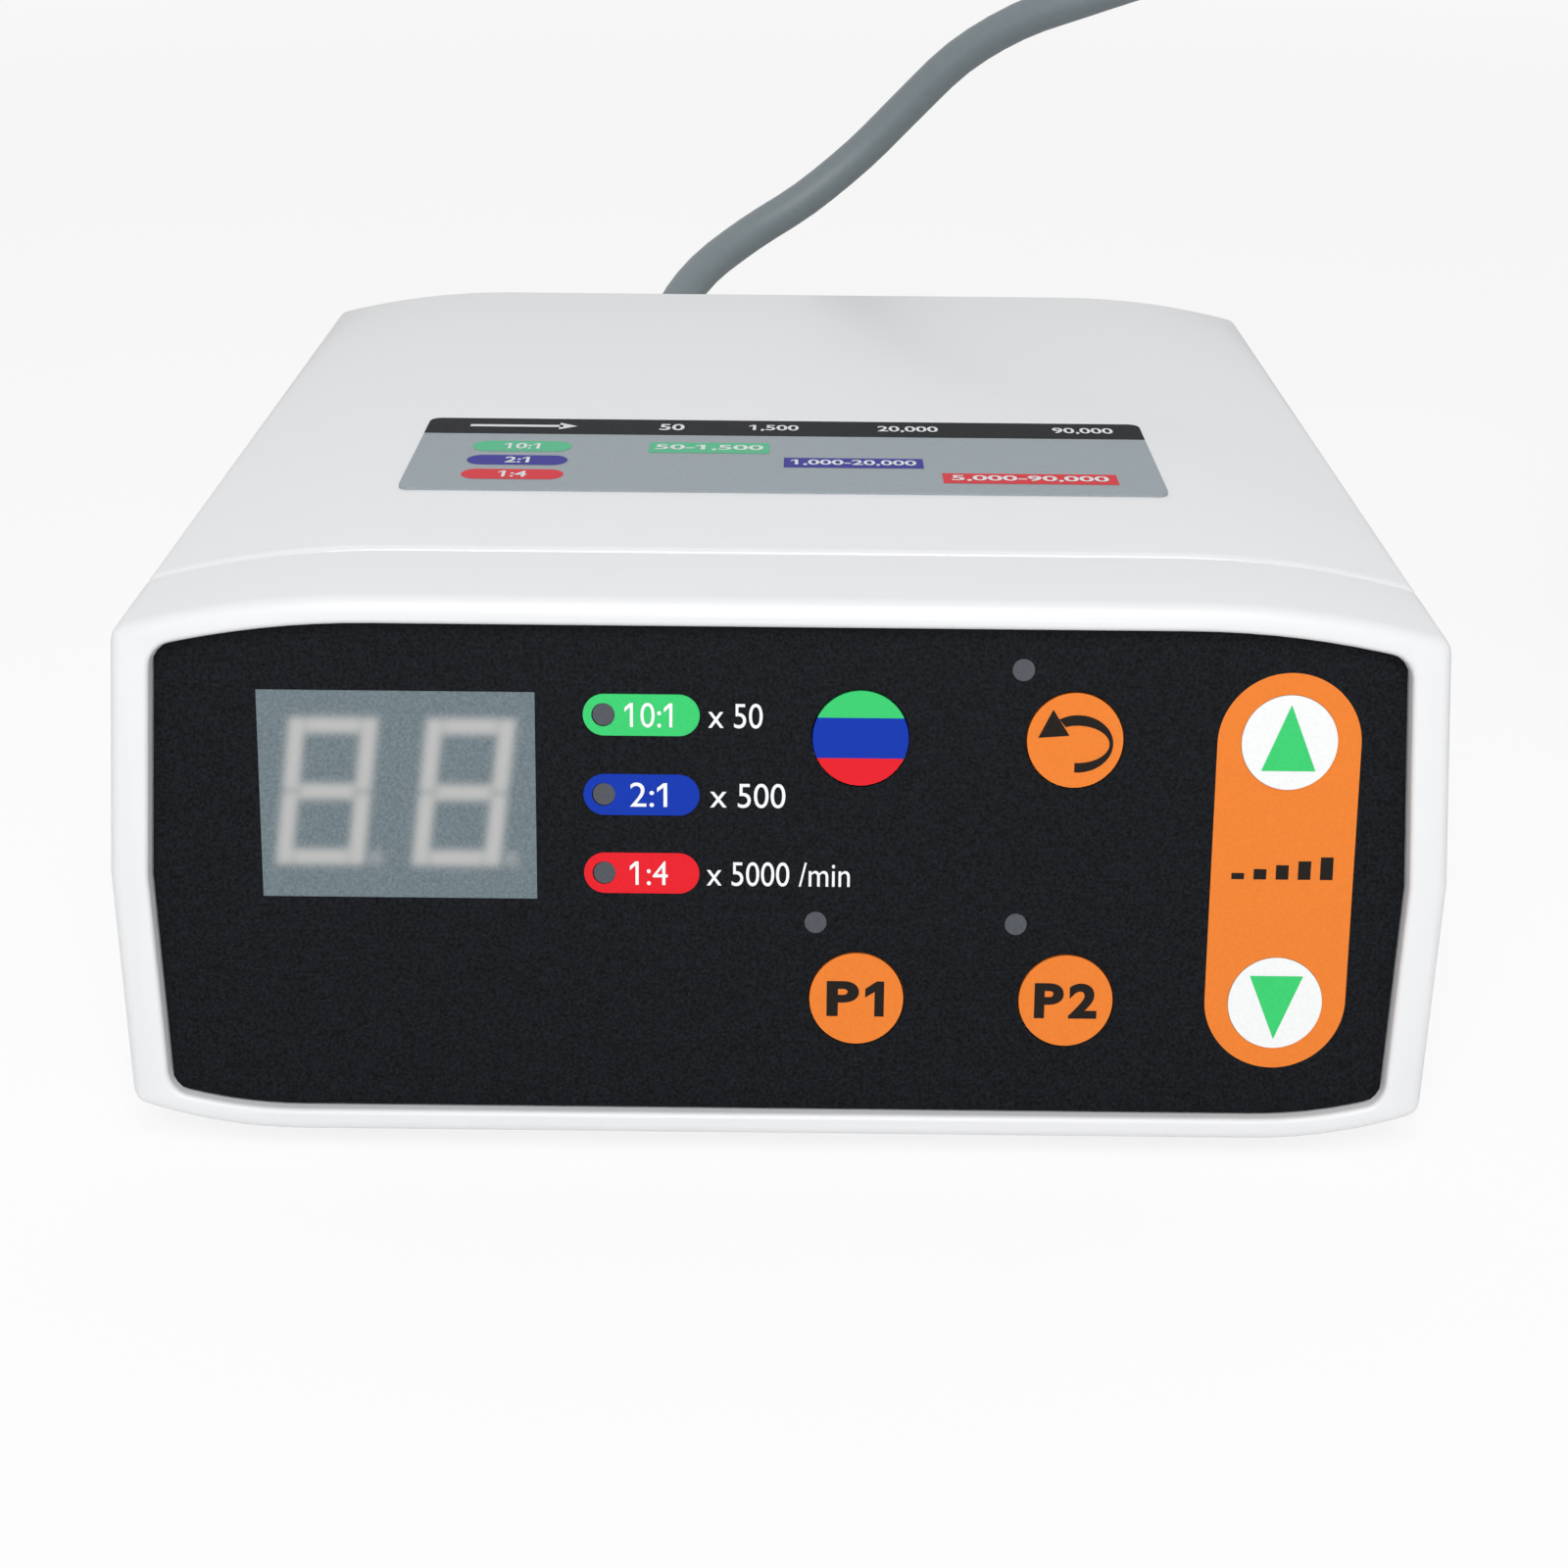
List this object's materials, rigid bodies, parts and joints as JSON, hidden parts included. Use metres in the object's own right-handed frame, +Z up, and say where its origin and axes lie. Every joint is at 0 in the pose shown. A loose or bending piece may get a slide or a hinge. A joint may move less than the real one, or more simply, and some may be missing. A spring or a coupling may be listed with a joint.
{
  "type": "dental micromotor",
  "caption": "Bench control unit for a dental micromotor: white case with a leaning keypad and display, speed table on top, rear sockets and a coiled hose that ends in the motor.",
  "frame": {"origin": "on the table, midway between the four feet", "axes": "+X to the right of the user, +Y to the back, +Z up; the face with the keys looks to -Y"},
  "size_m": [0.2708, 0.1959, 0.1],
  "materials": {
    "case_white": "smooth moulded gloss",
    "panel_black": "fine-grained matt film",
    "window_grey": "frosted film",
    "lens_grey": "diffuse dots",
    "label_grey": "printed film",
    "key_blue": "printed rubber",
    "key_orange": "printed rubber",
    "key_white": "printed rubber",
    "black_plastic": "fine matt",
    "rubber_grey": "matt rubber",
    "hose_grey": "smooth silicone",
    "steel": "plated",
    "aluminium": "satin anodised",
    "board_green": "lacquered laminate",
    "display_grey": "moulded",
    "led_clear": "clear cast",
    "ivory_plastic": "moulded",
    "cable_grey": "soft film",
    "lead_black": "soft jacket",
    "capacitor_blue": "sleeved",
    "copper_winding": "varnished",
    "magnet_dark": "sintered",
    "seal_black": "matt rubber",
    "dog_brass": "machined"
  },
  "bodies": {
    "unit": {"front_bezel": "case_white", "upper_case": "case_white", "lower_case": "case_white", "rear_panel": "case_white", "rubber_feet": "rubber_grey", "case_screws": "steel", "keypad_overlay": "panel_black", "display_window": "window_grey", "indicator_lenses": "lens_grey", "range_label": "label_grey", "switch_bodies": "black_plastic", "front_board": "board_green", "front_board_screws": "steel", "digit_display": "display_grey", "indicator_leds": "led_clear", "board_headers": "ivory_plastic", "ribbon_cable": "cable_grey", "main_board": "board_green", "main_board_screws": "steel", "heat_sink": "aluminium", "power_transistors": "black_plastic", "filter_capacitors": "capacitor_blue", "control_chip": "black_plastic", "motor_terminal": "ivory_plastic", "motor_leads": "lead_black", "switch_housing": "black_plastic", "power_jack": "black_plastic", "power_jack_nut": "steel", "pedal_socket": "black_plastic", "pedal_socket_nut": "steel", "cord_gland": "rubber_grey", "gland_nut": "rubber_grey", "hose_run": "hose_grey", "hose_coil": "hose_grey", "hose_lead": "hose_grey", "coil_tie": "black_plastic", "motor_boot": "rubber_grey", "motor_tail_nut": "aluminium", "motor_sleeve": "aluminium", "motor_stator": "copper_winding", "motor_bearings": "steel", "motor_nose": "aluminium", "nose_seals": "seal_black"},
    "range_key": {"key_range": "key_blue", "plunger_range": "black_plastic"},
    "reverse_key": {"key_reverse": "key_orange", "plunger_reverse": "black_plastic"},
    "memory_1_key": {"key_memory_1": "key_orange", "plunger_memory_1": "black_plastic"},
    "memory_2_key": {"key_memory_2": "key_orange", "plunger_memory_2": "black_plastic"},
    "speed_up_key": {"key_speed_up": "key_white", "plunger_speed_up": "black_plastic"},
    "speed_down_key": {"key_speed_down": "key_white", "plunger_speed_down": "black_plastic"},
    "rocker": {"switch_rocker": "black_plastic"},
    "rotor": {"rotor_shaft": "steel", "rotor_magnet": "magnet_dark", "drive_dog": "dog_brass"}
  },
  "joints": [
    {"name": "range_press", "type": "slide", "parent": "unit", "child": "range_key", "axis": [0, 0.9613, -0.2756], "range_m": [0, 0.0004], "stiffness_N_per_m": 1500, "springref_m": -0.0005},
    {"name": "reverse_press", "type": "slide", "parent": "unit", "child": "reverse_key", "axis": [0, 0.9613, -0.2756], "range_m": [0, 0.0004], "stiffness_N_per_m": 1500, "springref_m": -0.0005},
    {"name": "memory_1_press", "type": "slide", "parent": "unit", "child": "memory_1_key", "axis": [0, 0.9613, -0.2756], "range_m": [0, 0.0004], "stiffness_N_per_m": 1500, "springref_m": -0.0005},
    {"name": "memory_2_press", "type": "slide", "parent": "unit", "child": "memory_2_key", "axis": [0, 0.9613, -0.2756], "range_m": [0, 0.0004], "stiffness_N_per_m": 1500, "springref_m": -0.0005},
    {"name": "speed_up_press", "type": "slide", "parent": "unit", "child": "speed_up_key", "axis": [0, 0.9613, -0.2756], "range_m": [0, 0.0004], "stiffness_N_per_m": 1500, "springref_m": -0.0005},
    {"name": "speed_down_press", "type": "slide", "parent": "unit", "child": "speed_down_key", "axis": [0, 0.9613, -0.2756], "range_m": [0, 0.0004], "stiffness_N_per_m": 1500, "springref_m": -0.0005},
    {"name": "power_rock", "type": "hinge", "parent": "unit", "child": "rocker", "pos_m": [0.038, 0.05855, 0.027], "axis": [1, 0, 0], "range_deg": [0, 22]},
    {"name": "rotor_spin", "type": "hinge", "parent": "unit", "child": "rotor", "pos_m": [0.19726, -0.04075, 0.01025], "axis": [0, -1, 0], "continuous": true}
  ]
}
